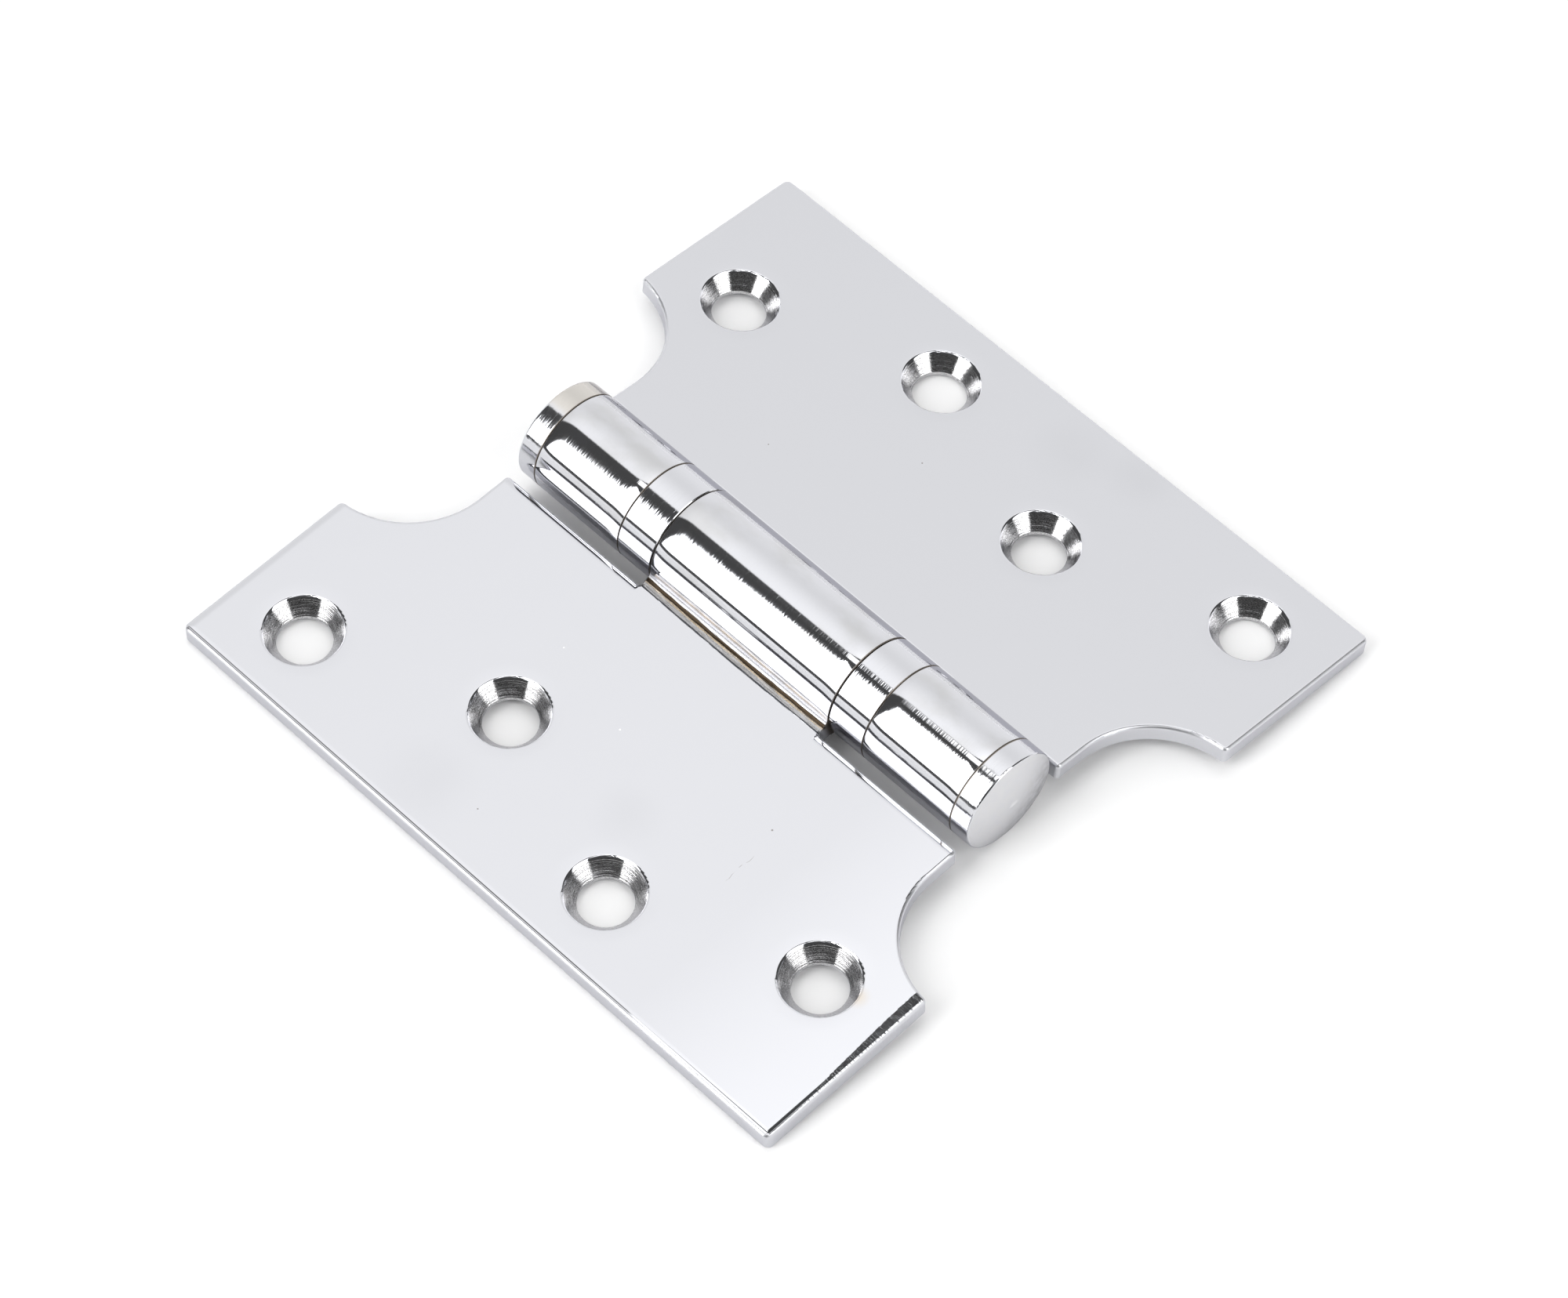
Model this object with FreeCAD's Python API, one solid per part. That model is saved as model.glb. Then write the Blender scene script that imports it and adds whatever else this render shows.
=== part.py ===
import FreeCAD, Part
import math
import os

# Parliament hinge, lying open on a surface with its countersunk faces up.
# The pin runs along Y over the origin, Z is up, and the surface is at Z = 0.
# Each leaf is drawn flat beside its pin, then drooped until its outer edge meets the surface.
# Millimetres and degrees.

# Leaves
leaf_height = 101.6
leaf_reach = 52.6
leaf_thickness = 2.7
face_below_pin = 1.15
inner_edge = 8.9
neck_setback = 11.85
scallop_radius = 12.5
scallop_start = 13.6
outer_corner_radius = 0.9
scallop_tip_radius = 0.7
neck_corner_radius = 0.6
tab_corner_radius = 0.5
face_edge_radius = 0.5
back_edge_chamfer = 0.3

# Screw holes, staggered in two columns
screw_rows = 4
screw_end_margin = 10.98
screw_near_column = 32.95
screw_far_column = 42.55
screw_hole_diameter = 7.1
countersink_diameter = 10.4
countersink_angle = 74.0
countersink_rim_radius = 0.4

# Knuckles and the roots that join them to their leaves
knuckle_diameter = 14.3
middle_knuckle_length = 30.9
knuckle_end_chamfer = 0.12
front_root_radius = 1.3
back_root_radius = 1.0

# Pin and end caps
pin_diameter = 8.0
pin_fit = 0.02
pin_running_clearance = 0.05
pin_end_chamfer = 0.4
cap_length = 3.0
cap_dome_height = 0.8
cap_edge_radius = 0.3
cap_stem_diameter = 4.5
cap_stem_length = 6.0
cap_stem_fit = 0.02
cap_drilling_spare = 0.6

# Ball bearings between the knuckles
bearing_length = 5.7
collar_wall = 0.75
collar_end_chamfer = 0.12
collar_end_clearance = 0.1
race_clearance = 0.1
ball_count = 6
ball_diameter = 1.6
ball_clearance = 0.02
cage_thickness = 0.6
cage_wall = 0.2
cage_pocket_clearance = 0.04

# Derived sizes
knuckle_radius = knuckle_diameter / 2
pin_radius = pin_diameter / 2
back_below_pin = face_below_pin + leaf_thickness
neck_height = leaf_height - 2 * neck_setback
screw_row_spacing = (leaf_height - 2 * screw_end_margin) / (screw_rows - 1)
middle_end = middle_knuckle_length / 2
bearing_end = middle_end + bearing_length
barrel_end = neck_height / 2 - cap_length
fixed_bore = pin_radius + pin_fit
running_bore = pin_radius + pin_running_clearance

AXIS = FreeCAD.Vector(0, 1, 0)
UP = FreeCAD.Vector(0, 0, 1)
ORIGIN = FreeCAD.Vector(0, 0, 0)
SAME_PLACE = 1e-6


def point(x, y, z=0.0):
    return FreeCAD.Vector(x, y, z)


def droop_angle():
    """How far each leaf hangs when its outer edge lies level with the foot of the knuckle."""
    edge_out = leaf_reach - back_edge_chamfer
    edge_line = math.hypot(edge_out, back_below_pin)
    return math.degrees(math.asin(knuckle_radius / edge_line) - math.atan2(back_below_pin, edge_out))


def line(start, end):
    return Part.makeLine(start, end)


def arc(start, middle, end):
    return Part.Arc(start, middle, end).toShape()


def turned(edges):
    """A solid of revolution about the pin axis, from a closed profile of edges in X and Y."""
    return Part.Face(Part.Wire(edges)).revolve(ORIGIN, AXIS, 360)


def turned_polygon(corners):
    """A solid of revolution from corners given as (station along the pin, radius)."""
    corner_points = [point(radius, station) for station, radius in corners]
    closed = corner_points + corner_points[:1]
    return turned([line(a, b) for a, b in zip(closed, closed[1:])])


def ring(low, high, inner_radius, outer_radius):
    inside = [(low, inner_radius), (high, inner_radius)]
    outside = [(high, outer_radius), (low, outer_radius)]
    return turned_polygon(inside + outside)


def rod(low, high, radius):
    return Part.makeCylinder(radius, high - low, point(0, low), AXIS)


def scallop_edge(side):
    """Start, middle and end of the concave arc from a neck to the leaf's end; side is 1 or -1."""
    centre_y = neck_height / 2 + scallop_radius
    start = -math.pi / 2
    end = math.asin((leaf_height / 2 - centre_y) / scallop_radius)
    places = []
    for angle in (start, (start + end) / 2, end):
        x = scallop_start + scallop_radius * math.cos(angle)
        y = centre_y + scallop_radius * math.sin(angle)
        places.append(point(x, side * y))
    return places


def leaf_outline(knuckle_spans):
    """Edges of the flat leaf seen from above, and its corners by kind; the pin axis is at X = 0."""
    half = leaf_height / 2
    neck = neck_height / 2
    low_arc = scallop_edge(-1)
    high_arc = scallop_edge(1)
    low_neck = point(inner_edge, -neck)
    high_neck = point(inner_edge, neck)
    outer = [point(leaf_reach, -half), point(leaf_reach, half)]
    edges = [
        line(low_neck, low_arc[0]),
        arc(*low_arc),
        line(low_arc[2], outer[0]),
        line(outer[0], outer[1]),
        line(outer[1], high_arc[2]),
        arc(*reversed(high_arc)),
        line(high_arc[0], high_neck),
    ]
    tab_corners = []
    here = high_neck
    for low, high in sorted(knuckle_spans, reverse=True):
        stops = [
            point(inner_edge, high),
            point(running_bore, high),
            point(running_bore, low),
            point(inner_edge, low),
        ]
        tab_corners += [stops[0], stops[3]]
        for there in stops:
            edges.append(line(here, there))
            here = there
    edges.append(line(here, low_neck))
    rounded = [
        (outer_corner_radius, outer),
        (scallop_tip_radius, [low_arc[2], high_arc[2]]),
        (neck_corner_radius, [low_neck, high_neck]),
        (tab_corner_radius, tab_corners),
    ]
    return edges, rounded


def upright_edges(solid, places):
    """The edges along Z that stand over the given places."""
    found = []
    for edge in solid.Edges:
        a = edge.Vertexes[0].Point
        b = edge.Vertexes[-1].Point
        if math.hypot(a.x - b.x, a.y - b.y) > SAME_PLACE:
            continue
        if any(math.hypot(a.x - p.x, a.y - p.y) < SAME_PLACE for p in places):
            found.append(edge)
    return found


def level_edges(solid, height):
    """The edges that lie wholly at one height."""
    return [
        e for e in solid.Edges
        if max(abs(e.BoundBox.ZMin - height), abs(e.BoundBox.ZMax - height)) < SAME_PLACE
    ]


def round_edges(solid, radius, axis):
    """The edges that are circles, or parts of one, of the given radius about a line along the axis."""
    circles = [e for e in solid.Edges if e.Curve.TypeId == "Part::GeomCircle"]
    return [
        e for e in circles
        if abs(e.Curve.Radius - radius) < SAME_PLACE and abs(e.Curve.Axis.dot(axis)) > 1 - SAME_PLACE
    ]


def leaf_plate(knuckle_spans):
    """The flat plate with its tabs, its corners rounded in plan and the edges of its face polished round."""
    edges, rounded = leaf_outline(knuckle_spans)
    flat = Part.Face(Part.Wire(edges))
    flat.translate(point(0, 0, -back_below_pin))
    plate = flat.extrude(UP * leaf_thickness)
    for radius, places in rounded:
        plate = plate.makeFillet(radius, upright_edges(plate, places))
    plate = plate.makeFillet(face_edge_radius, level_edges(plate, -face_below_pin))
    return plate.makeChamfer(back_edge_chamfer, level_edges(plate, -back_below_pin))


def root_arc(radius, height, side):
    """A concave arc from a face at one height to the knuckle; side is 1 above the leaf, -1 below."""
    centre_z = height + side * radius
    reach = knuckle_radius + radius
    centre = point(math.sqrt(reach ** 2 - centre_z ** 2), 0, centre_z)
    on_leaf = point(centre.x, 0, height)
    on_knuckle = centre * (knuckle_radius / reach)
    to_leaf = (on_leaf - centre).normalize()
    to_knuckle = (on_knuckle - centre).normalize()
    middle = centre + (to_leaf + to_knuckle).normalize() * radius
    return on_leaf, middle, on_knuckle


def knuckle(low, high):
    """A knuckle with its filleted root, drawn as one section and drawn out along the pin."""
    front = root_arc(front_root_radius, -face_below_pin, 1)
    back = root_arc(back_root_radius, -back_below_pin, -1)
    far_side = point(-knuckle_radius, 0)
    section = [
        arc(*front),
        arc(front[2], far_side, back[2]),
        arc(*reversed(back)),
        line(back[0], front[0]),
    ]
    face = Part.Face(Part.Wire(section))
    face.translate(point(0, low))
    solid = face.extrude(AXIS * (high - low))
    return solid.makeChamfer(knuckle_end_chamfer, round_edges(solid, knuckle_radius, AXIS))


def screw_cutter(u, y):
    """The space of one countersunk screw, from above the face to below the back."""
    rim = countersink_diameter / 2
    bore = screw_hole_diameter / 2
    slope = math.tan(math.radians(countersink_angle / 2))
    above = leaf_thickness
    cone_depth = (rim - bore) / slope
    shank = Part.makeCylinder(bore, 3 * leaf_thickness, point(u, y, -back_below_pin - leaf_thickness))
    cone = Part.makeCone(
        bore, rim + above * slope, cone_depth + above, point(u, y, -face_below_pin - cone_depth)
    )
    return shank.fuse(cone)


def screw_places():
    """Hole centres of a leaf: the columns alternate row by row from the +Y end."""
    first = screw_row_spacing * (screw_rows - 1) / 2
    columns = [screw_near_column, screw_far_column]
    return [(columns[row % 2], first - row * screw_row_spacing) for row in range(screw_rows)]


def leaf(knuckle_spans, bore_radius):
    """One leaf with its knuckles in one piece, still flat beside the pin on the +X side."""
    solid = leaf_plate(knuckle_spans)
    solid = solid.fuse([knuckle(low, high) for low, high in knuckle_spans])
    cutters = [screw_cutter(u, y) for u, y in screw_places()]
    cutters.append(rod(-leaf_height, leaf_height, bore_radius))
    solid = solid.cut(cutters).removeSplitter()
    return solid.makeFillet(countersink_rim_radius, round_edges(solid, countersink_diameter / 2, UP))


def cap_section():
    """The half section of the end cap at the +Y end, with its stem."""
    shoulder = barrel_end
    rim = shoulder + cap_length
    stem_end = shoulder - cap_stem_length
    stem = cap_stem_diameter / 2
    flank = knuckle_radius - cap_edge_radius
    turn = cap_edge_radius * math.sqrt(0.5)
    centre = point(flank, rim - cap_edge_radius)
    dome_radius = (flank ** 2 + cap_dome_height ** 2) / (2 * cap_dome_height)
    dome_centre = rim + cap_dome_height - dome_radius
    half_angle = math.asin(flank / dome_radius) / 2
    dome_middle = point(
        dome_radius * math.sin(half_angle),
        dome_centre + dome_radius * math.cos(half_angle),
    )
    return [
        line(point(0, stem_end), point(stem, stem_end)),
        line(point(stem, stem_end), point(stem, shoulder)),
        line(point(stem, shoulder), point(knuckle_radius, shoulder)),
        line(point(knuckle_radius, shoulder), point(knuckle_radius, rim - cap_edge_radius)),
        arc(point(knuckle_radius, rim - cap_edge_radius), centre + point(turn, turn), point(flank, rim)),
        arc(point(flank, rim), dome_middle, point(0, rim + cap_dome_height)),
        line(point(0, rim + cap_dome_height), point(0, stem_end)),
    ]


def hinge_pin():
    """The pin, chamfered at its ends and drilled there for the stems of the caps."""
    flank = pin_radius - pin_end_chamfer
    chamfer_start = barrel_end - pin_end_chamfer
    drill = cap_stem_diameter / 2 + cap_stem_fit
    drill_end = barrel_end - cap_stem_length - cap_drilling_spare
    pin = turned_polygon([
        (-barrel_end, 0),
        (-barrel_end, flank),
        (-chamfer_start, pin_radius),
        (chamfer_start, pin_radius),
        (barrel_end, flank),
        (barrel_end, 0),
    ])
    return pin.cut([rod(drill_end, barrel_end, drill), rod(-barrel_end, -drill_end, drill)])


def bearing():
    """The pieces of the bearing on the +Y side, by name."""
    collar_bore = knuckle_radius - collar_wall
    race_outer = collar_bore - race_clearance
    race_inner = pin_radius + race_clearance
    track_radius = (race_outer + race_inner) / 2
    race_thickness = (bearing_length - ball_diameter) / 2 - ball_clearance
    centre_y = middle_end + bearing_length / 2
    turning = ring(middle_end, middle_end + race_thickness, race_inner, race_outer)
    fixed = ring(bearing_end - race_thickness, bearing_end, race_inner, race_outer)
    collar = ring(middle_end + collar_end_clearance, bearing_end, collar_bore, knuckle_radius)
    pocket_radius = ball_diameter / 2 + cage_pocket_clearance
    cage = ring(
        centre_y - cage_thickness / 2,
        centre_y + cage_thickness / 2,
        track_radius - pocket_radius - cage_wall,
        track_radius + pocket_radius + cage_wall,
    )
    balls = []
    pockets = []
    for number in range(ball_count):
        angle = 2 * math.pi * number / ball_count
        centre = point(track_radius * math.cos(angle), centre_y, track_radius * math.sin(angle))
        balls.append(Part.makeSphere(ball_diameter / 2, centre))
        pocket_start = centre - AXIS * cage_thickness
        pockets.append(Part.makeCylinder(pocket_radius, 2 * cage_thickness, pocket_start, AXIS))
    return {
        "bearing_collar": collar.makeChamfer(collar_end_chamfer, round_edges(collar, knuckle_radius, AXIS)),
        "turning_race": turning,
        "fixed_race": fixed,
        "bearing_balls": Part.makeCompound(balls),
        "ball_cage": cage.cut(pockets),
    }


def other_end(shape):
    """A copy turned end for end, for the lower half of the barrel."""
    copy = shape.copy()
    copy.rotate(ORIGIN, UP, 180)
    return copy


def build():
    """Every piece in its place, by node name."""
    droop = droop_angle()
    outer_spans = [(-barrel_end, -bearing_end), (bearing_end, barrel_end)]
    middle_spans = [(-middle_end, middle_end)]

    fixed_leaf = leaf(outer_spans, fixed_bore)
    fixed_leaf.rotate(ORIGIN, AXIS, droop)
    swinging_leaf = other_end(leaf(middle_spans, running_bore))
    swinging_leaf.rotate(ORIGIN, AXIS, -droop)

    pieces = {
        "leaf_with_outer_knuckles": fixed_leaf,
        "leaf_with_middle_knuckle": swinging_leaf,
        "hinge_pin": hinge_pin(),
    }
    upper = {"end_cap": turned(cap_section())}
    upper.update(bearing())
    for name, shape in upper.items():
        pieces[name + "_upper"] = shape
        pieces[name + "_lower"] = other_end(shape)
    for shape in pieces.values():
        shape.translate(UP * knuckle_radius)
    return pieces


os.makedirs("parts", exist_ok=True)
for name, shape in build().items():
    shape.exportStep("parts/" + name + ".step")
    print(name, "solids", len(shape.Solids), "valid", shape.isValid(), "volume", round(shape.Volume, 2))
print("droop", round(droop_angle(), 3), "degrees")
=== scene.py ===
# %% [markdown]
# # A parliament hinge in polished chrome
# The hinge is already modelled in CAD, so Blender's work here is its looks: plating, polishing marks,
# studio light and the view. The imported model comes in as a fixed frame, in metres, and nothing in it moves.

# %% Load the hinge
import math
import bmesh
import bpy
from mathutils import Matrix, Vector


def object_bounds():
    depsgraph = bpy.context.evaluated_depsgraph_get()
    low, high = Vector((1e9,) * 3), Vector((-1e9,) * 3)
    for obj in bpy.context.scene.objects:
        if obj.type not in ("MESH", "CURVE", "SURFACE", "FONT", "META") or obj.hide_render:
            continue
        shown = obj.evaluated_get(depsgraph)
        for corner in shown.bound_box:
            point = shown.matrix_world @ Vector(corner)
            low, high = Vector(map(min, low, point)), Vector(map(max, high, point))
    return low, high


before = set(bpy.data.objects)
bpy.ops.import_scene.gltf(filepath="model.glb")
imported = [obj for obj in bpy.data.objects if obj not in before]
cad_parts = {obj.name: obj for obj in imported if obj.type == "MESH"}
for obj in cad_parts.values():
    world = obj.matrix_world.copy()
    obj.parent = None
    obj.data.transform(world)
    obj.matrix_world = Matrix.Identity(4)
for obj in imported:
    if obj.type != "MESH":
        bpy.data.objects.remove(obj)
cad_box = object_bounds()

MM = 0.001
print("nodes", len(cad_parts), "box in mm", [round(side / MM, 1) for side in cad_box[1] - cad_box[0]])

# %% [markdown]
# ## The view
# A long lens from above the near left corner flattens the hinge the way a product photo does. Place, aim
# and lens came from fitting the leaf corners and the countersink rims, so the camera is set by its axes.

# %% Camera
camera_place = Vector((-335.95, -303.92, 622.58)) * MM
camera_right = Vector((0.707031, -0.706156, 0.038086))
camera_up = Vector((0.556235, 0.588566, 0.586680))
camera = bpy.data.objects.new("camera", bpy.data.cameras.new("camera"))
camera.data.lens = 143.505
camera.data.sensor_width = 36.0
camera.data.clip_start = 0.01
camera_axes = Matrix((camera_right, camera_up, camera_right.cross(camera_up))).transposed()
camera.matrix_world = Matrix.Translation(camera_place) @ camera_axes.to_4x4()
bpy.context.scene.collection.objects.link(camera)
bpy.context.scene.camera = camera
bpy.context.scene.view_settings.view_transform = "Standard"
print("camera", [round(v / MM) for v in camera_place], "mm, lens", camera.data.lens, "mm")

# %% [markdown]
# ## Small tools for node trees
# Plating, floor and studio are all built from nodes. A few helpers keep those cells readable: they add a
# node, join or set an input, and do arithmetic on numbers or sockets alike.

# %% Node helpers
def add(tree, kind, **settings):
    node = tree.nodes.new("ShaderNode" + kind)
    for name, value in settings.items():
        setattr(node, name, value)
    return node


def feed(tree, socket, value):
    if isinstance(value, bpy.types.NodeSocket):
        tree.links.new(value, socket)
    else:
        socket.default_value = value


def calc(tree, operation, *values):
    node = add(tree, "Math", operation=operation)
    for socket, value in zip(node.inputs, values):
        feed(tree, socket, value)
    return node.outputs[0]


def total(tree, first, *others):
    for other in others:
        first = calc(tree, "ADD", first, other)
    return first


def product(tree, first, *others):
    for other in others:
        first = calc(tree, "MULTIPLY", first, other)
    return first


def ease(tree, value, low, high, start=0.0, end=1.0):
    """Goes smoothly from start to end while value goes from low to high."""
    node = add(tree, "MapRange", interpolation_type="SMOOTHSTEP")
    for socket, number in zip(node.inputs, (value, low, high, start, end)):
        feed(tree, socket, number)
    return node.outputs[0]


def between(tree, value, low, high, blur):
    """One where value lies between low and high, nought outside, with soft ends."""
    rising = ease(tree, value, low - blur / 2, low + blur / 2)
    falling = ease(tree, value, high - blur / 2, high + blur / 2, 1.0, 0.0)
    return product(tree, rising, falling)


def parts_of(tree, vector):
    node = add(tree, "SeparateXYZ")
    feed(tree, node.inputs[0], vector)
    return node.outputs


def dot(tree, vector, direction):
    node = add(tree, "VectorMath", operation="DOT_PRODUCT")
    feed(tree, node.inputs[0], vector)
    node.inputs[1].default_value = direction
    return node.outputs["Value"]


def noise(tree, place, scale, stretch=(1.0, 1.0, 1.0), detail=2.0):
    """Soft noise round one half; scale counts its grains per millimetre, stretch squeezes it by axis."""
    squeeze = add(tree, "VectorMath", operation="MULTIPLY")
    feed(tree, squeeze.inputs[0], place)
    squeeze.inputs[1].default_value = stretch
    node = add(tree, "TexNoise")
    feed(tree, node.inputs["Vector"], squeeze.outputs[0])
    node.inputs["Scale"].default_value = scale
    node.inputs["Detail"].default_value = detail
    return node.outputs["Fac"]


def bands(tree, value, scale, detail=2.0):
    """Noise that changes along one value only, for rings and lines."""
    node = add(tree, "TexNoise", noise_dimensions="1D")
    feed(tree, node.inputs["W"], value)
    node.inputs["Scale"].default_value = scale
    node.inputs["Detail"].default_value = detail
    return node.outputs["Fac"]


def blend(tree, share, first, second):
    """Goes from the first colour to the second as share goes from nought to one."""
    node = add(tree, "Mix", data_type="RGBA")
    for socket, value in zip((node.inputs[0], node.inputs[6], node.inputs[7]), (share, first, second)):
        feed(tree, socket, value)
    return node.outputs[2]


# %% [markdown]
# ## The studio
# Chrome shows little of its own colour: it shows the room. The stripes on the barrel and the facets in the
# countersinks tell what stood round the hinge: a white sweep behind and above it, a tall softbox on each
# side of the camera, a narrow panel overhead, a dim fill high in front, and darkness between them. The world
# paints that room by direction, so every curved face mirrors it, while the camera itself sees plain white
# behind the floor.
#
# Turn is counted in degrees from the camera to either side, rise in degrees from the table up. A pair says
# over which stretch an edge fades. For SOFTBOX_RISE and the panel it says where the light starts and ends;
# the panel is flat, so it is measured in shares of its height.

# %% World
SWEEP_TOWARDS = math.radians(42.0)
sweep_axis = (math.cos(SWEEP_TOWARDS), math.sin(SWEEP_TOWARDS), 0.0)
side_axis = (-math.sin(SWEEP_TOWARDS), math.cos(SWEEP_TOWARDS), 0.0)
SWEEP_TURN = (116.0, 123.0)
SOFTBOX_INNER_TURN = (38.5, 40.5)
SOFTBOX_OUTER_TURN = (76.4, 78.8)
SOFTBOX_RISE = (9.0, 62.0)
LEAN_FROM = 42.4
SOFTBOX_LEAN = 0.476
PANEL_EAST = (-0.26, -0.10)
PANEL_NORTH = (-0.6, 0.4)
FRONT_TURN = (26.0, 39.0)
FRONT_RISE = (36.0, 60.0)
FRONT_TOP = (60.0, 66.0)
DARK_ROOM = 0.08
LEFT_SOFTBOX = 4.2
RIGHT_SOFTBOX = 2.6
PANEL_LIGHT = 2.2
FRONT_LIGHT = 0.4
TABLE_LIGHT = 1.2

world = bpy.data.worlds.new("studio")
bpy.context.scene.world = world
world.use_nodes = True
studio = world.node_tree
studio.nodes.clear()
direction = add(studio, "TexCoord").outputs["Generated"]
towards_camera = calc(studio, "MULTIPLY", dot(studio, direction, sweep_axis), -1.0)
leftward = dot(studio, direction, side_axis)
aside = calc(studio, "ABSOLUTE", leftward)
turn = calc(studio, "DEGREES", calc(studio, "ARCTAN2", aside, towards_camera))
east, north, upward = parts_of(studio, direction)
rise = calc(studio, "DEGREES", calc(studio, "ARCSINE", upward))

lean = calc(studio, "MAXIMUM", calc(studio, "SUBTRACT", rise, LEAN_FROM), 0.0)
outer_side = calc(studio, "MULTIPLY_ADD", lean, -SOFTBOX_LEAN, turn)
softbox = product(
    studio,
    ease(studio, turn, *SOFTBOX_INNER_TURN),
    ease(studio, outer_side, *SOFTBOX_OUTER_TURN, 1.0, 0.0),
    between(studio, rise, *SOFTBOX_RISE, 1.0),
)
height_above = calc(studio, "MAXIMUM", upward, 0.05)
panel = product(
    studio,
    between(studio, calc(studio, "DIVIDE", east, height_above), *PANEL_EAST, 0.02),
    between(studio, calc(studio, "DIVIDE", north, height_above), *PANEL_NORTH, 0.015),
)
front_fill = product(
    studio,
    ease(studio, turn, *FRONT_TURN, 1.0, 0.0),
    ease(studio, rise, *FRONT_RISE),
    ease(studio, rise, *FRONT_TOP, FRONT_LIGHT, 0.0),
)
sweep = product(studio, ease(studio, turn, *SWEEP_TURN), ease(studio, rise, -2.0, 0.0))
low_glow = ease(studio, rise, 0.0, 40.0, 0.13, 0.0)
above = calc(studio, "MAXIMUM", calc(studio, "MULTIPLY_ADD", rise, 0.02, -0.8), 0.0)
high_glow = calc(studio, "MULTIPLY", calc(studio, "POWER", above, 1.5), 0.75)
sweep_light = total(studio, low_glow, high_glow, 1.0 - DARK_ROOM)
room = total(
    studio,
    product(studio, sweep, sweep_light),
    product(studio, softbox, ease(studio, leftward, -0.1, 0.1, RIGHT_SOFTBOX, LEFT_SOFTBOX)),
    product(studio, panel, PANEL_LIGHT),
    front_fill,
    DARK_ROOM,
)
far_table = ease(studio, rise, 2.5, 3.5, TABLE_LIGHT, 0.0)
lit = calc(studio, "MAXIMUM", room, far_table)
seen = add(studio, "LightPath").outputs["Is Camera Ray"]
background = add(studio, "Background")
feed(studio, background.inputs["Color"], (1.0, 1.0, 1.0, 1.0))
feed(studio, background.inputs["Strength"], calc(studio, "MAXIMUM", lit, seen))
studio.links.new(background.outputs[0], add(studio, "OutputWorld").inputs["Surface"])
print("studio world with", len(studio.nodes), "nodes")

# %% [markdown]
# ## The floor
# A plain white table under the hinge. Its own faint glow is only for the camera, so it lights nothing: it
# lifts the table to the white of the photo and leaves the soft shadow beside the hinge.

# %% Floor
FLOOR_GLOW = 0.04


def new_mesh_object(name, shape):
    mesh = bpy.data.meshes.new(name)
    shape.to_mesh(mesh)
    shape.free()
    piece = bpy.data.objects.new(name, mesh)
    bpy.context.scene.collection.objects.link(piece)
    return piece


shape = bmesh.new()
bmesh.ops.create_circle(shape, cap_ends=True, segments=96, radius=1.6)
floor = new_mesh_object("floor", shape)
floor_paint = bpy.data.materials.new("white_table")
floor_paint.use_nodes = True
table_tree = floor_paint.node_tree
table = table_tree.nodes["Principled BSDF"]
table.inputs["Base Color"].default_value = (0.98, 0.98, 0.98, 1.0)
table.inputs["Roughness"].default_value = 0.9
table.inputs["Specular IOR Level"].default_value = 0.0
table.inputs["Emission Color"].default_value = (1.0, 1.0, 1.0, 1.0)
watched = add(table_tree, "LightPath").outputs["Is Camera Ray"]
feed(table_tree, table.inputs["Emission Strength"], product(table_tree, watched, FLOOR_GLOW))
floor.data.materials.append(floor_paint)
print("floor", [round(v, 2) for v in floor.dimensions])

# %% [markdown]
# ## Where a mark sits
# Marks on the plating are placed in millimetres from the pin: outwards along a leaf, along the pin, and up
# from the leaf's plane. Each material reads its object's own coordinates and turns them into that frame, so
# the marks stay on the metal when the hinge swings.

# %% Frames of the leaves and of the barrel
pin_height = cad_box[1].z / 2 / MM
DROOP = math.radians(3.626)


def place_from_pin(tree, droop=0.0, half_turn=0.0):
    """Object coordinates in millimetres from the pin, turned so that X runs along the leaf's face."""
    turned = Matrix.Rotation(half_turn, 3, "Z") @ Matrix.Rotation(droop, 3, "Y")
    mapping = add(tree, "Mapping", vector_type="POINT")
    mapping.inputs["Scale"].default_value = (1 / MM, 1 / MM, 1 / MM)
    mapping.inputs["Rotation"].default_value = (0.0, droop, half_turn)
    mapping.inputs["Location"].default_value = turned @ Vector((0.0, 0.0, -pin_height))
    tree.links.new(add(tree, "TexCoord").outputs["Object"], mapping.inputs["Vector"])
    return mapping.outputs["Vector"]


def new_group(name, *results):
    """A node group that reads a place and puts out values that vary over the surface."""
    tree = bpy.data.node_groups.new(name, "ShaderNodeTree")
    tree.interface.new_socket("Place", in_out="INPUT", socket_type="NodeSocketVector")
    for result in results:
        tree.interface.new_socket(result, in_out="OUTPUT", socket_type="NodeSocketFloat")
    place = tree.nodes.new("NodeGroupInput").outputs["Place"]
    return tree, place, tree.nodes.new("NodeGroupOutput").inputs


def use(tree, group, place):
    node = add(tree, "Group", node_tree=group)
    tree.links.new(place, node.inputs["Place"])
    return node.outputs


print("pin axis", round(pin_height, 2), "mm above the table")

# %% [markdown]
# ## Marks on the barrel
# A barrel is polished while it turns, so fine lines run round it and fray the edges of what it mirrors, most
# along its crest. The knuckles are rolled over a little at their ends, and the seams between the pieces are
# painted dark: painted shade of the narrow grooves, with some dirt.

# %% Barrel marks
SEAMS = (15.45, 21.15, 35.95)
SEAM_WIDTH = 0.36
LINE_HEIGHT = 0.0075
KNUCKLE_LINES = 0.6
LINE_GRAIN = (0.05, 3.8, 0.05)
CREST = (4.6, 6.0)
LINES_OFF_CREST = 0.15
ROUND_ENDS = (7.3, 8.3)
CROWN_REACH = 2.4
CROWN_SLOPE = 0.16

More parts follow.
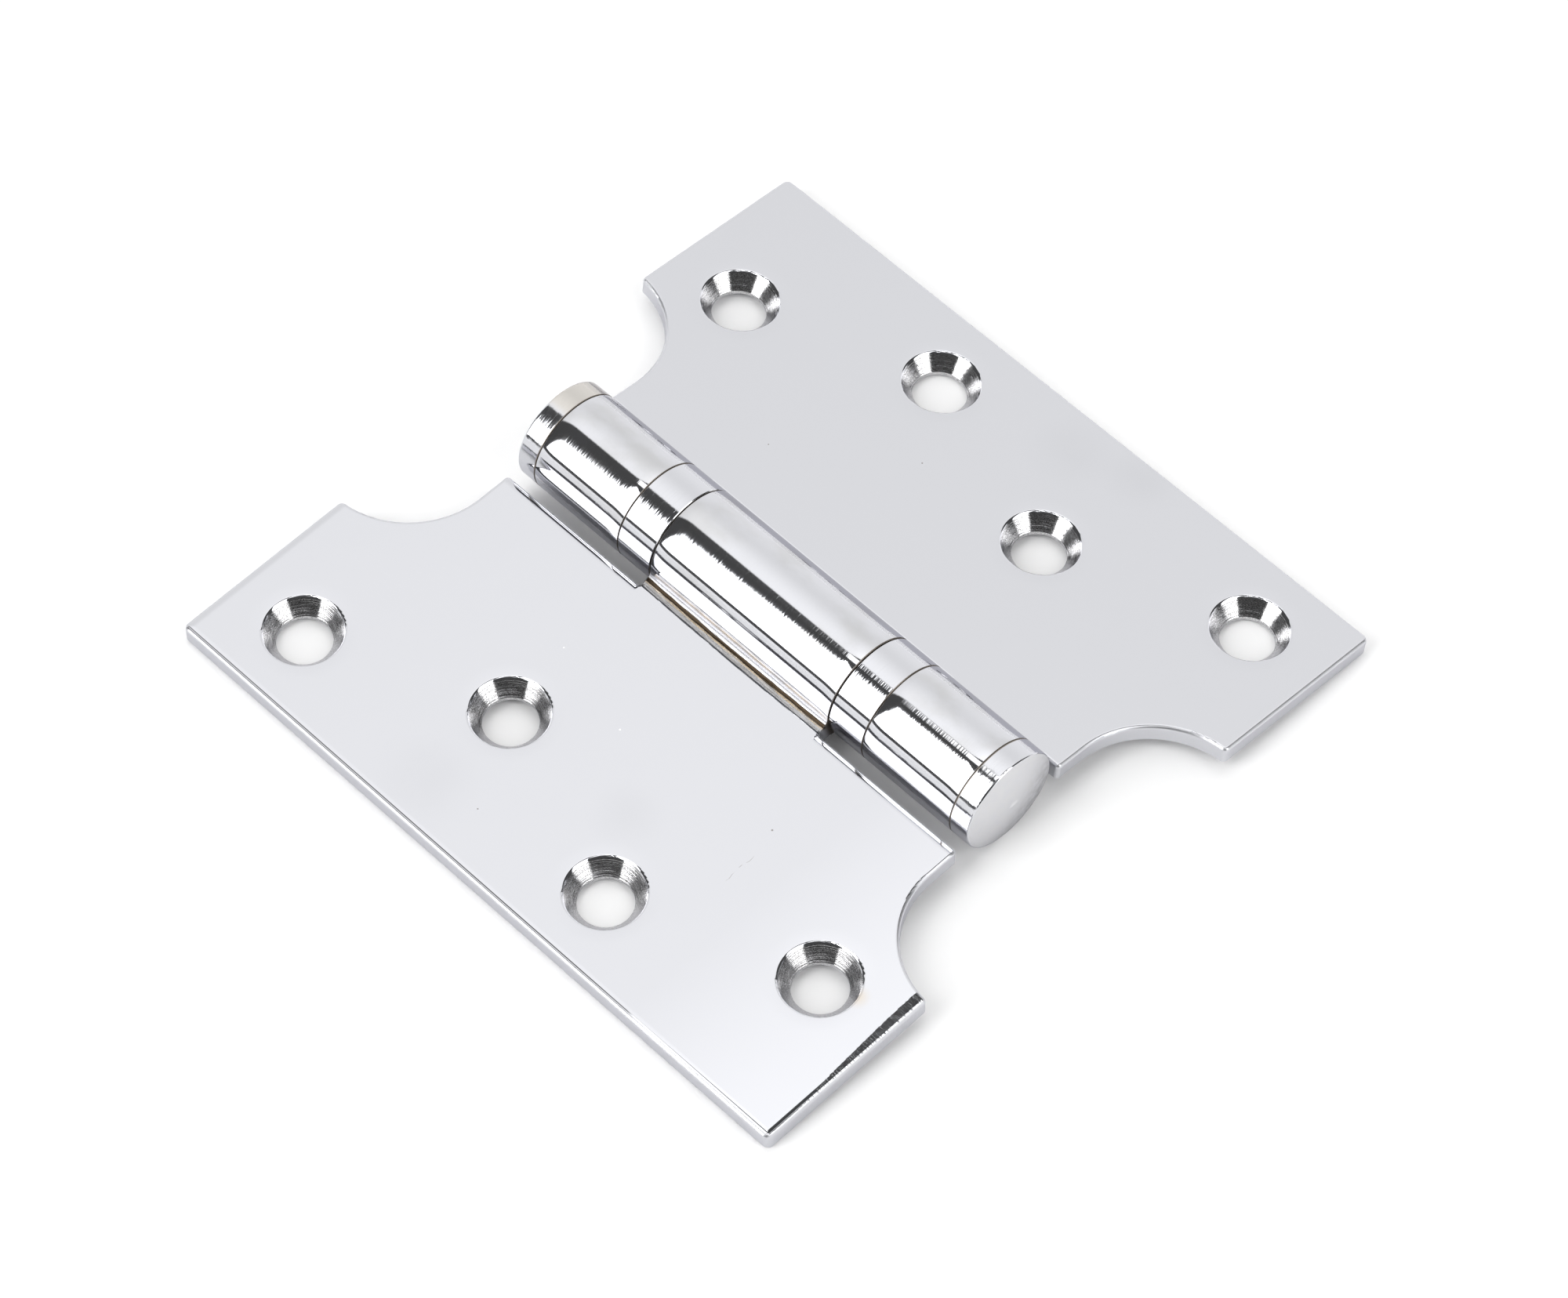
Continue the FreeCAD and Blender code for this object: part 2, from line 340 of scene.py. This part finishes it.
barrel_marks, place, result = new_group("barrel_marks", "Lines", "Crown", "Seam", "Round", "Haze")
across, along, upright = parts_of(barrel_marks, place)
from_middle = calc(barrel_marks, "ABSOLUTE", along)
to_seam = None
for station in SEAMS:
    gap = calc(barrel_marks, "ABSOLUTE", calc(barrel_marks, "SUBTRACT", from_middle, station))
    to_seam = gap if to_seam is None else calc(barrel_marks, "MINIMUM", to_seam, gap)
radius = calc(
    barrel_marks, "SQRT",
    total(barrel_marks, product(barrel_marks, across, across), product(barrel_marks, upright, upright)),
)
grain = noise(barrel_marks, place, 1.0, LINE_GRAIN)
rolled = calc(barrel_marks, "MAXIMUM", calc(barrel_marks, "SUBTRACT", CROWN_REACH, to_seam), 0.0)
on_round = ease(barrel_marks, radius, *ROUND_ENDS, 1.0, 0.0)
crest = ease(barrel_marks, upright, *CREST, LINES_OFF_CREST, 1.0)
feed(barrel_marks, result["Lines"], product(barrel_marks, grain, crest, LINE_HEIGHT, on_round))
feed(barrel_marks, result["Crown"],
     product(barrel_marks, rolled, rolled, rolled, -CROWN_SLOPE / (3 * CROWN_REACH ** 2), on_round))
feed(barrel_marks, result["Seam"],
     product(barrel_marks, ease(barrel_marks, to_seam, SEAM_WIDTH / 4, SEAM_WIDTH / 2, 1.0, 0.0), on_round))
feed(barrel_marks, result["Round"], on_round)
feed(barrel_marks, result["Haze"], noise(barrel_marks, place, 0.22, (1.0, 0.6, 1.0), 4.0))

# %% [markdown]
# ## Marks on the leaves
# Each leaf has four staggered holes. Their cones keep fine rings from the cutter, and the polishing wheel
# has softened the face round each rim. The sides and rounded edges of the plate are only satin, and the
# back is plain.

# %% Leaf marks
HOLES = ((32.95, 39.82), (42.55, 13.27), (32.95, -13.27), (42.55, -39.82))
FACE_LEVEL = -1.15
BACK_LEVEL = -3.85
RIM_RADIUS = 5.4
SOFTENED_REACH = 1.8
LEAF_REACH = 52.6
LEAF_END = 50.8
INNER_EDGE = 8.9
EDGE_FLAT = 1.2
EDGE_FILLET = 0.5
EDGE_CURVE = 0.18
SOFTENED_CURVE = 0.008
RING_HEIGHT = 0.02
RIPPLE_HEIGHT = 0.012


def rolled_edge(tree, to_edge):
    """The last bit of flat face before an edge, tipped over by the polishing wheel."""
    tipped = calc(tree, "MAXIMUM", calc(tree, "SUBTRACT", EDGE_FLAT, to_edge), 0.0)
    tipped = calc(tree, "MINIMUM", tipped, EDGE_FLAT - EDGE_FILLET)
    return product(tree, tipped, tipped, -EDGE_CURVE)


leaf_marks, place, result = new_group(
    "leaf_marks", "Relief", "Edge", "Cone", "Speckle", "Cloud", "Front", "Side")
out, along, upright = parts_of(leaf_marks, place)
to_hole = None
for hole_out, hole_along in HOLES:
    apart = add(leaf_marks, "CombineXYZ").outputs[0]
    feed(leaf_marks, apart.node.inputs[0], calc(leaf_marks, "SUBTRACT", out, hole_out))
    feed(leaf_marks, apart.node.inputs[1], calc(leaf_marks, "SUBTRACT", along, hole_along))
    length = add(leaf_marks, "VectorMath", operation="LENGTH")
    feed(leaf_marks, length.inputs[0], apart)
    gap = length.outputs["Value"]
    to_hole = gap if to_hole is None else calc(leaf_marks, "MINIMUM", to_hole, gap)
front = ease(leaf_marks, upright, BACK_LEVEL + 0.01, BACK_LEVEL + 0.05)
below_face = ease(leaf_marks, upright, FACE_LEVEL - 0.4, FACE_LEVEL - 0.15, 1.0, 0.0)
in_hole = ease(leaf_marks, to_hole, RIM_RADIUS - 0.2, RIM_RADIUS, 1.0, 0.0)
cone = product(leaf_marks, below_face, in_hole, front)
rings = bands(leaf_marks, upright, 7.0, 3.0)
worn = calc(leaf_marks, "MAXIMUM", calc(leaf_marks, "SUBTRACT", RIM_RADIUS + SOFTENED_REACH, to_hole), 0.0)
worn = calc(leaf_marks, "MINIMUM", worn, SOFTENED_REACH)
softened = product(leaf_marks, worn, worn, -SOFTENED_CURVE, front)
ripple = noise(leaf_marks, place, 0.12, detail=1.0)
to_edge = calc(
    leaf_marks, "MINIMUM",
    calc(leaf_marks, "SUBTRACT", LEAF_REACH, out),
    calc(leaf_marks, "SUBTRACT", LEAF_END, calc(leaf_marks, "ABSOLUTE", along)),
)
relief = total(
    leaf_marks, softened,
    product(leaf_marks, rings, cone, RING_HEIGHT),
    product(leaf_marks, ripple, RIPPLE_HEIGHT),
)
feed(leaf_marks, result["Relief"], relief)
feed(leaf_marks, result["Edge"], product(leaf_marks, rolled_edge(leaf_marks, to_edge), front))
feed(leaf_marks, result["Front"], front)
off_face = ease(leaf_marks, upright, FACE_LEVEL - 0.06, FACE_LEVEL - 0.006, 1.0, 0.0)
off_hole = calc(leaf_marks, "SUBTRACT", 1.0, in_hole)
feed(leaf_marks, result["Side"], product(leaf_marks, off_face, off_hole, front))
feed(leaf_marks, result["Cone"], cone)
feed(leaf_marks, result["Speckle"], ease(leaf_marks, noise(leaf_marks, place, 9.0, detail=2.0), 0.3, 0.6))
feed(leaf_marks, result["Cloud"], noise(leaf_marks, place, 0.11, detail=5.0))


# %% [markdown]
# ## Marks at the roots of the knuckles
# Where a knuckle grows out of the leaf the wheel couldn't reach, so a dull strip is left at its root, on the
# foot of the fillet and a little of the flat face. From the barrel outwards it is a brown tint painted nearly
# black as a painted reflection of the dark room, then streaky gold as a painted highlight, then streaky grey,
# and it ends in a dark line, a painted shadow along the edge of the polish. The fillet above it is half
# polished.

# %% Root marks
ROOT_START = 7.62
BROWN_END = 8.08
GOLD_END = 8.26
LINE_START = 8.8
ROOT_END = 9.0
ROOT_BOW = 0.0006


def root_group(name, low, high, centre):
    """The strip beside the knuckles that stand from low to high along the pin, either side of the middle."""
    tree, place, result = new_group(name, "Relief", "Dull", "Brown", "Gold", "Line", "Soft")
    out, along, upright = parts_of(tree, place)
    from_middle = calc(tree, "ABSOLUTE", along)
    beside = between(tree, from_middle, low, high, 0.3)
    on_face = between(tree, upright, FACE_LEVEL - 0.2, FACE_LEVEL + 0.9, 0.1)
    at_root = product(tree, beside, on_face)
    streaks = noise(tree, place, 1.0, (5.0, 0.35, 5.0), 3.0)
    off_centre = calc(tree, "SUBTRACT", from_middle, centre)
    bow = product(tree, off_centre, off_centre, ROOT_BOW)
    bowed = total(tree, out, bow, calc(tree, "MULTIPLY_ADD", streaks, 0.24, -0.12))
    dull = product(tree, between(tree, bowed, ROOT_START, ROOT_END, 0.1), at_root)
    golden = product(tree, between(tree, bowed, BROWN_END, GOLD_END, 0.12), ease(tree, streaks, 0.36, 0.56))
    inner = rolled_edge(tree, calc(tree, "SUBTRACT", out, INNER_EDGE))
    elsewhere = product(tree, calc(tree, "SUBTRACT", 1.0, beside), on_face)
    relief = total(tree, product(tree, streaks, dull, 0.05), product(tree, inner, elsewhere))
    feed(tree, result["Relief"], relief)
    feed(tree, result["Dull"], product(tree, dull, ease(tree, streaks, 0.3, 0.6, 1.0, 0.55)))
    feed(tree, result["Brown"], product(tree, between(tree, bowed, ROOT_START, BROWN_END, 0.12), at_root))
    feed(tree, result["Gold"], product(tree, golden, at_root))
    on_fillet = between(tree, upright, FACE_LEVEL, FACE_LEVEL + 1.5, 0.3)
    feed(tree, result["Soft"], product(tree, between(tree, out, 7.05, ROOT_START, 0.1), on_fillet, beside))
    feed(tree, result["Line"], product(tree, between(tree, bowed, LINE_START, ROOT_END, 0.14), at_root))
    return tree


middle_root = root_group("middle_root", -1.0, SEAMS[0], 0.0)
outer_root = root_group("outer_root", SEAMS[1], SEAMS[2], (SEAMS[1] + SEAMS[2]) / 2)

# %% [markdown]
# ## Chrome
# Bright chrome over polished steel is a slightly blue mirror that loses a little at glancing angles. One
# function starts every plated material. The rest of each material is what has happened to the plating
# since, with painted shade, a painted reflection and painted highlights among it. The leaf with the middle
# knuckle also has an end that the polishing wheel tipped over.

# %% Chrome
CHROME = (0.67, 0.675, 0.705, 1.0)
SEAM_SHADE_AND_DIRT = (0.21, 0.185, 0.16, 1.0)
DULL_GREY = (0.34, 0.33, 0.32, 1.0)
BROWN_DARK_REFLECTION = (0.036, 0.026, 0.017, 1.0)
GOLD_HIGHLIGHT = (0.62, 0.50, 0.35, 1.0)
ROOT_EDGE_SHADOW = (0.05, 0.055, 0.065, 1.0)
SMUDGE = (0.625, 0.63, 0.658, 1.0)
HAZE = (0.61, 0.612, 0.625, 1.0)
PIT = (0.36, 0.345, 0.335, 1.0)
GLINT = (0.95, 0.95, 0.95, 1.0)
CONE_SHADE = (0.18, 0.175, 0.173, 1.0)
CONE_SPECKLE_LIGHT = (0.78, 0.78, 0.79, 1.0)
STAIN = (0.66, 0.59, 0.50, 1.0)
SCRATCH_WIDTH = 0.055
SCRATCH_SHARE = 0.55
MIRROR_ROUGHNESS = 0.03
HAZE_ROUGHNESS = 0.06
SEAM_ROUGHNESS = 0.35
ROOT_ROUGHNESS = 0.25
FILLET_ROUGHNESS = 0.2
CONE_ROUGHNESS = 0.05
SIDE_ROUGHNESS = 0.3
GENTLE_REACH = 24.0
GENTLE_CURVE = 0.0032
STEEP_SLOPE = 0.22
STEEP_FRAY = 0.34


def new_metal(name):
    material = bpy.data.materials.new(name)
    material.use_nodes = True
    tree = material.node_tree
    metal = tree.nodes["Principled BSDF"].inputs
    metal["Metallic"].default_value = 1.0
    return material, tree, metal


def new_chrome(name):
    material, tree, metal = new_metal(name)
    metal["Specular Tint"].default_value = (0.74, 0.735, 0.765, 1.0)
    return material, tree, metal


def stand_up(tree, relief, normal=None):
    """Bumps the surface by a relief in millimetres and gives the new normal."""
    bump = add(tree, "Bump")
    bump.inputs["Distance"].default_value = MM
    feed(tree, bump.inputs["Height"], relief)
    if normal:
        feed(tree, bump.inputs["Normal"], normal)
    return bump.outputs["Normal"]


def spot(tree, place, centre, radius, blur):
    """One inside a round spot on a leaf, nought outside."""
    out, along, upright = parts_of(tree, place)
    apart = calc(tree, "SQRT", total(
        tree,
        calc(tree, "POWER", calc(tree, "SUBTRACT", out, centre[0]), 2.0),
        calc(tree, "POWER", calc(tree, "SUBTRACT", along, centre[1]), 2.0),
    ))
    return ease(tree, apart, radius - blur, radius, 1.0, 0.0)


def scratch(tree, place, start, end):
    """One along a thin straight scratch, broken up by noise."""
    run = Vector(end) - Vector(start)
    ahead = run.normalized()
    along = dot(tree, place, (ahead.x, ahead.y, 0.0))
    aside = dot(tree, place, (-ahead.y, ahead.x, 0.0))
    first = ahead.dot(Vector(start))
    line = -ahead.y * start[0] + ahead.x * start[1]
    wander = calc(tree, "MULTIPLY_ADD", bands(tree, along, 0.5), 0.5, line - 0.25)
    off_line = calc(tree, "ABSOLUTE", calc(tree, "SUBTRACT", aside, wander))
    broken = ease(tree, bands(tree, along, 0.9, 1.0), 0.45, 0.55)
    thin = ease(tree, off_line, SCRATCH_WIDTH / 2, SCRATCH_WIDTH, 1.0, 0.0)
    return product(tree, thin, between(tree, along, first, first + run.length, 0.2), broken)


def gentle_end(tree, place):
    """The end of the leaf that the polishing wheel tipped over a little, from well inside the face."""
    out, along, upright = parts_of(tree, place)
    inside = calc(tree, "MAXIMUM", calc(tree, "SUBTRACT", along, LEAF_END - GENTLE_REACH), 0.0)
    return product(tree, inside, inside, -GENTLE_CURVE)


def steep_end(tree, place, edge, front):
    """The last strip of that end, tipped over further, most towards the scallop."""
    out, along, upright = parts_of(tree, place)
    to_end = calc(tree, "SUBTRACT", LEAF_END, along)
    reach = ease(tree, out, 50.0, 26.0, EDGE_FILLET + 0.1, EDGE_FILLET + 1.0)
    fur = noise(tree, place, 1.0, (3.5, 0.4, 1.0), 5.0)
    frayed = calc(tree, "MULTIPLY_ADD", fur, STEEP_FRAY, reach)
    steep = calc(tree, "SMOOTH_MAX", calc(tree, "SUBTRACT", frayed, to_end), 0.0, 0.1)
    return calc(tree, "MINIMUM", edge, product(tree, steep, front, -STEEP_SLOPE))


def chrome_leaf(name, droop, half_turn, root, smudges, stains, pits, glints, scratches, rolled):
    material, tree, metal = new_chrome(name)
    place = place_from_pin(tree, droop, half_turn)
    barrel = use(tree, barrel_marks, place)
    leaf = use(tree, leaf_marks, place)
    base = use(tree, root, place)
    hazy = product(tree, ease(tree, barrel["Haze"], 0.42, 0.68), barrel["Round"])
    colour = blend(tree, hazy, CHROME, HAZE)
    for out, along, radius in smudges:
        smudge = spot(tree, place, (out, along), radius, radius)
        colour = blend(tree, product(tree, smudge, leaf["Cloud"], leaf["Front"]), colour, SMUDGE)
    for out, along, radius in stains:
        stain = spot(tree, place, (out, along), radius, radius)
        colour = blend(tree, product(tree, stain, leaf["Front"], 0.8), colour, STAIN)
    # Countersink cones painted darker, with a light speckle: painted shade in the recesses.
    colour = blend(tree, leaf["Cone"], colour, blend(tree, leaf["Speckle"], CONE_SHADE, CONE_SPECKLE_LIGHT))
    colour = blend(tree, base["Dull"], colour, DULL_GREY)
    # Painted reflection: the root's brown tint is painted nearly black, as the dark room mirrored there.
    colour = blend(tree, base["Brown"], colour, BROWN_DARK_REFLECTION)
    # Painted highlight: streaky gold along the root strip.
    colour = blend(tree, base["Gold"], colour, GOLD_HIGHLIGHT)
    # Painted shadow: a dark line along the edge of the polish at the end of the root strip.
    colour = blend(tree, base["Line"], colour, ROOT_EDGE_SHADOW)
    # Seams painted dark: painted shade of the narrow grooves, with some dirt.
    colour = blend(tree, barrel["Seam"], colour, SEAM_SHADE_AND_DIRT)
    flaws = [spot(tree, place, (out, along), radius, radius / 2) for out, along, radius in pits]
    flaws += [product(tree, scratch(tree, place, start, end), SCRATCH_SHARE) for start, end in scratches]
    for flaw in flaws:
        colour = blend(tree, product(tree, flaw, leaf["Front"]), colour, PIT)
    for out, along, radius in glints:
        glint = spot(tree, place, (out, along), radius, radius / 2)
        colour = blend(tree, product(tree, glint, leaf["Front"]), colour, GLINT)
    feed(tree, metal["Base Color"], colour)
    rough = calc(tree, "MULTIPLY_ADD", barrel["Haze"], HAZE_ROUGHNESS, MIRROR_ROUGHNESS)
    satin = (
        (base["Dull"], ROOT_ROUGHNESS),
        (base["Soft"], FILLET_ROUGHNESS),
        (barrel["Seam"], SEAM_ROUGHNESS),
        (leaf["Cone"], CONE_ROUGHNESS),
        (leaf["Side"], SIDE_ROUGHNESS),
    )
    for mask, more in satin:
        rough = calc(tree, "MULTIPLY_ADD", mask, more, rough)
    feed(tree, metal["Roughness"], rough)
    lines = product(tree, barrel["Lines"], KNUCKLE_LINES)
    relief = total(tree, lines, barrel["Crown"], leaf["Relief"])
    if rolled:
        relief = total(tree, relief, base["Relief"], steep_end(tree, place, leaf["Edge"], leaf["Front"]))
    normal = stand_up(tree, relief)
    if rolled:
        tipped = stand_up(tree, product(tree, gentle_end(tree, place), leaf["Front"]), normal)
        choose = add(tree, "Mix", data_type="VECTOR")
        feed(tree, choose.inputs[0], leaf["Cone"])
        feed(tree, choose.inputs[4], tipped)
        feed(tree, choose.inputs[5], normal)
        normal = choose.outputs[1]
    feed(tree, metal["Normal"], normal)
    return material


fixed_chrome = chrome_leaf(
    "chrome_leaf_with_outer_knuckles", -DROOP, 0.0, outer_root,
    smudges=((46.2, -5.6, 7.0), (49.5, -14.5, 6.0)), stains=(),
    pits=((31.0, 5.5, 0.14), (18.6, 20.4, 0.12)), glints=(),
    scratches=(), rolled=False,
)
swinging_chrome = chrome_leaf(
    "chrome_leaf_with_middle_knuckle", DROOP, math.pi, middle_root,
    smudges=((46.5, -13.5, 8.0), (33.2, 7.4, 6.0)), stains=((31.6, 44.6, 2.0),),
    pits=((22.4, 21.2, 0.18), (45.2, -6.0, 0.14)), glints=((25.3, -2.0, 0.17), (21.85, -15.4, 0.14)),
    scratches=(((26.5, 22.2), (31.4, 22.2)),), rolled=True,
)
node_counts = [len(material.node_tree.nodes) for material in (fixed_chrome, swinging_chrome)]
print("nodes in the leaf materials", node_counts)

# %% [markdown]
# ## Collars and caps
# The collars share the barrel's lines. The caps are duller: their domed ends are satin and scuffed, with
# painted shade darker towards one side, and the upper one has a warm cast on top.

# %% Collars and caps
CREAM = (0.63, 0.605, 0.57, 1.0)
SATIN = (0.74, 0.738, 0.735, 1.0)
LOW_SIDE_SHADE = (0.42, 0.42, 0.425, 1.0)
CAP_RIM = 38.9


def chrome_collar():
    material, tree, metal = new_chrome("chrome_collar")
    barrel = use(tree, barrel_marks, place_from_pin(tree))
    # Seams painted dark: painted shade of the narrow grooves, with some dirt.
    feed(tree, metal["Base Color"], blend(tree, barrel["Seam"], CHROME, SEAM_SHADE_AND_DIRT))
    rough = calc(tree, "MULTIPLY_ADD", barrel["Haze"], HAZE_ROUGHNESS, MIRROR_ROUGHNESS)
    feed(tree, metal["Roughness"], total(tree, rough, product(tree, barrel["Seam"], SEAM_ROUGHNESS)))
    feed(tree, metal["Normal"], stand_up(tree, barrel["Lines"]))
    return material


def chrome_cap(name, warm_top):
    material, tree, metal = new_chrome(name)
    place = place_from_pin(tree)
    barrel = use(tree, barrel_marks, place)
    across, along, upright = parts_of(tree, place)
    scuffs = noise(tree, place, 0.9, detail=5.0)
    face = ease(tree, calc(tree, "ABSOLUTE", along), CAP_RIM - 0.1, CAP_RIM + 0.1)
    colour = blend(tree, product(tree, face, scuffs), CHROME, SATIN)
    # Painted shade: the domed end is darker towards one low side, broken up by the scuffs.
    low_side = ease(tree, dot(tree, place, (0.8, 0.0, -0.6)), -1.0, 8.5)
    colour = blend(tree, product(tree, face, low_side, ease(tree, scuffs, 0.2, 0.7)), colour, LOW_SIDE_SHADE)
    if warm_top:
        top = ease(tree, dot(tree, place, (0.375, 0.0, 0.927)), 5.3, 6.2)
        colour = blend(tree, top, colour, CREAM)
    # Seams painted dark: painted shade of the narrow grooves, with some dirt.
    feed(tree, metal["Base Color"], blend(tree, barrel["Seam"], colour, SEAM_SHADE_AND_DIRT))
    rough = calc(tree, "MULTIPLY_ADD", scuffs, 0.12, 0.02)
    rough = total(tree, rough, product(tree, face, 0.33), product(tree, barrel["Seam"], SEAM_ROUGHNESS))
    feed(tree, metal["Roughness"], rough)
    feed(tree, metal["Normal"], stand_up(tree, total(tree, barrel["Lines"], product(tree, scuffs, 0.02))))
    return material


# %% [markdown]
# ## Inside the barrel
# The pin, the races and the balls are ground steel; the cages are stamped brass.

# %% Steel and brass
def ground_steel():
    material, tree, metal = new_metal("ground_steel")
    place = place_from_pin(tree)
    rings = noise(tree, place, 1.0, (0.3, 6.0, 0.3), 4.0)
    feed(tree, metal["Base Color"], blend(tree, rings, (0.50, 0.51, 0.52, 1.0), (0.62, 0.63, 0.64, 1.0)))
    feed(tree, metal["Roughness"], calc(tree, "MULTIPLY_ADD", rings, 0.15, 0.18))
    feed(tree, metal["Normal"], stand_up(tree, product(tree, rings, 0.004)))
    return material


def stamped_brass():
    material, tree, metal = new_metal("stamped_brass")
    place = place_from_pin(tree)
    cloud = noise(tree, place, 0.7, detail=4.0)
    feed(tree, metal["Base Color"], blend(tree, cloud, (0.60, 0.43, 0.17, 1.0), (0.80, 0.62, 0.30, 1.0)))
    feed(tree, metal["Roughness"], calc(tree, "MULTIPLY_ADD", cloud, 0.2, 0.22))
    feed(tree, metal["Normal"], stand_up(tree, product(tree, cloud, 0.01)))
    return material


finishes = {
    "leaf_with_outer_knuckles": fixed_chrome,
    "leaf_with_middle_knuckle": swinging_chrome,
    "bearing_collar": chrome_collar(),
    "end_cap_upper": chrome_cap("chrome_cap_upper", True),
    "end_cap_lower": chrome_cap("chrome_cap_lower", False),
    "ball_cage": stamped_brass(),
    "hinge_pin": ground_steel(),
}
finishes["turning_race"] = finishes["fixed_race"] = finishes["bearing_balls"] = finishes["hinge_pin"]
for name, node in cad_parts.items():
    for start, material in finishes.items():
        if name.startswith(start):
            node.data.materials.clear()
            node.data.materials.append(material)
print("materials", sorted(material.name for material in bpy.data.materials))
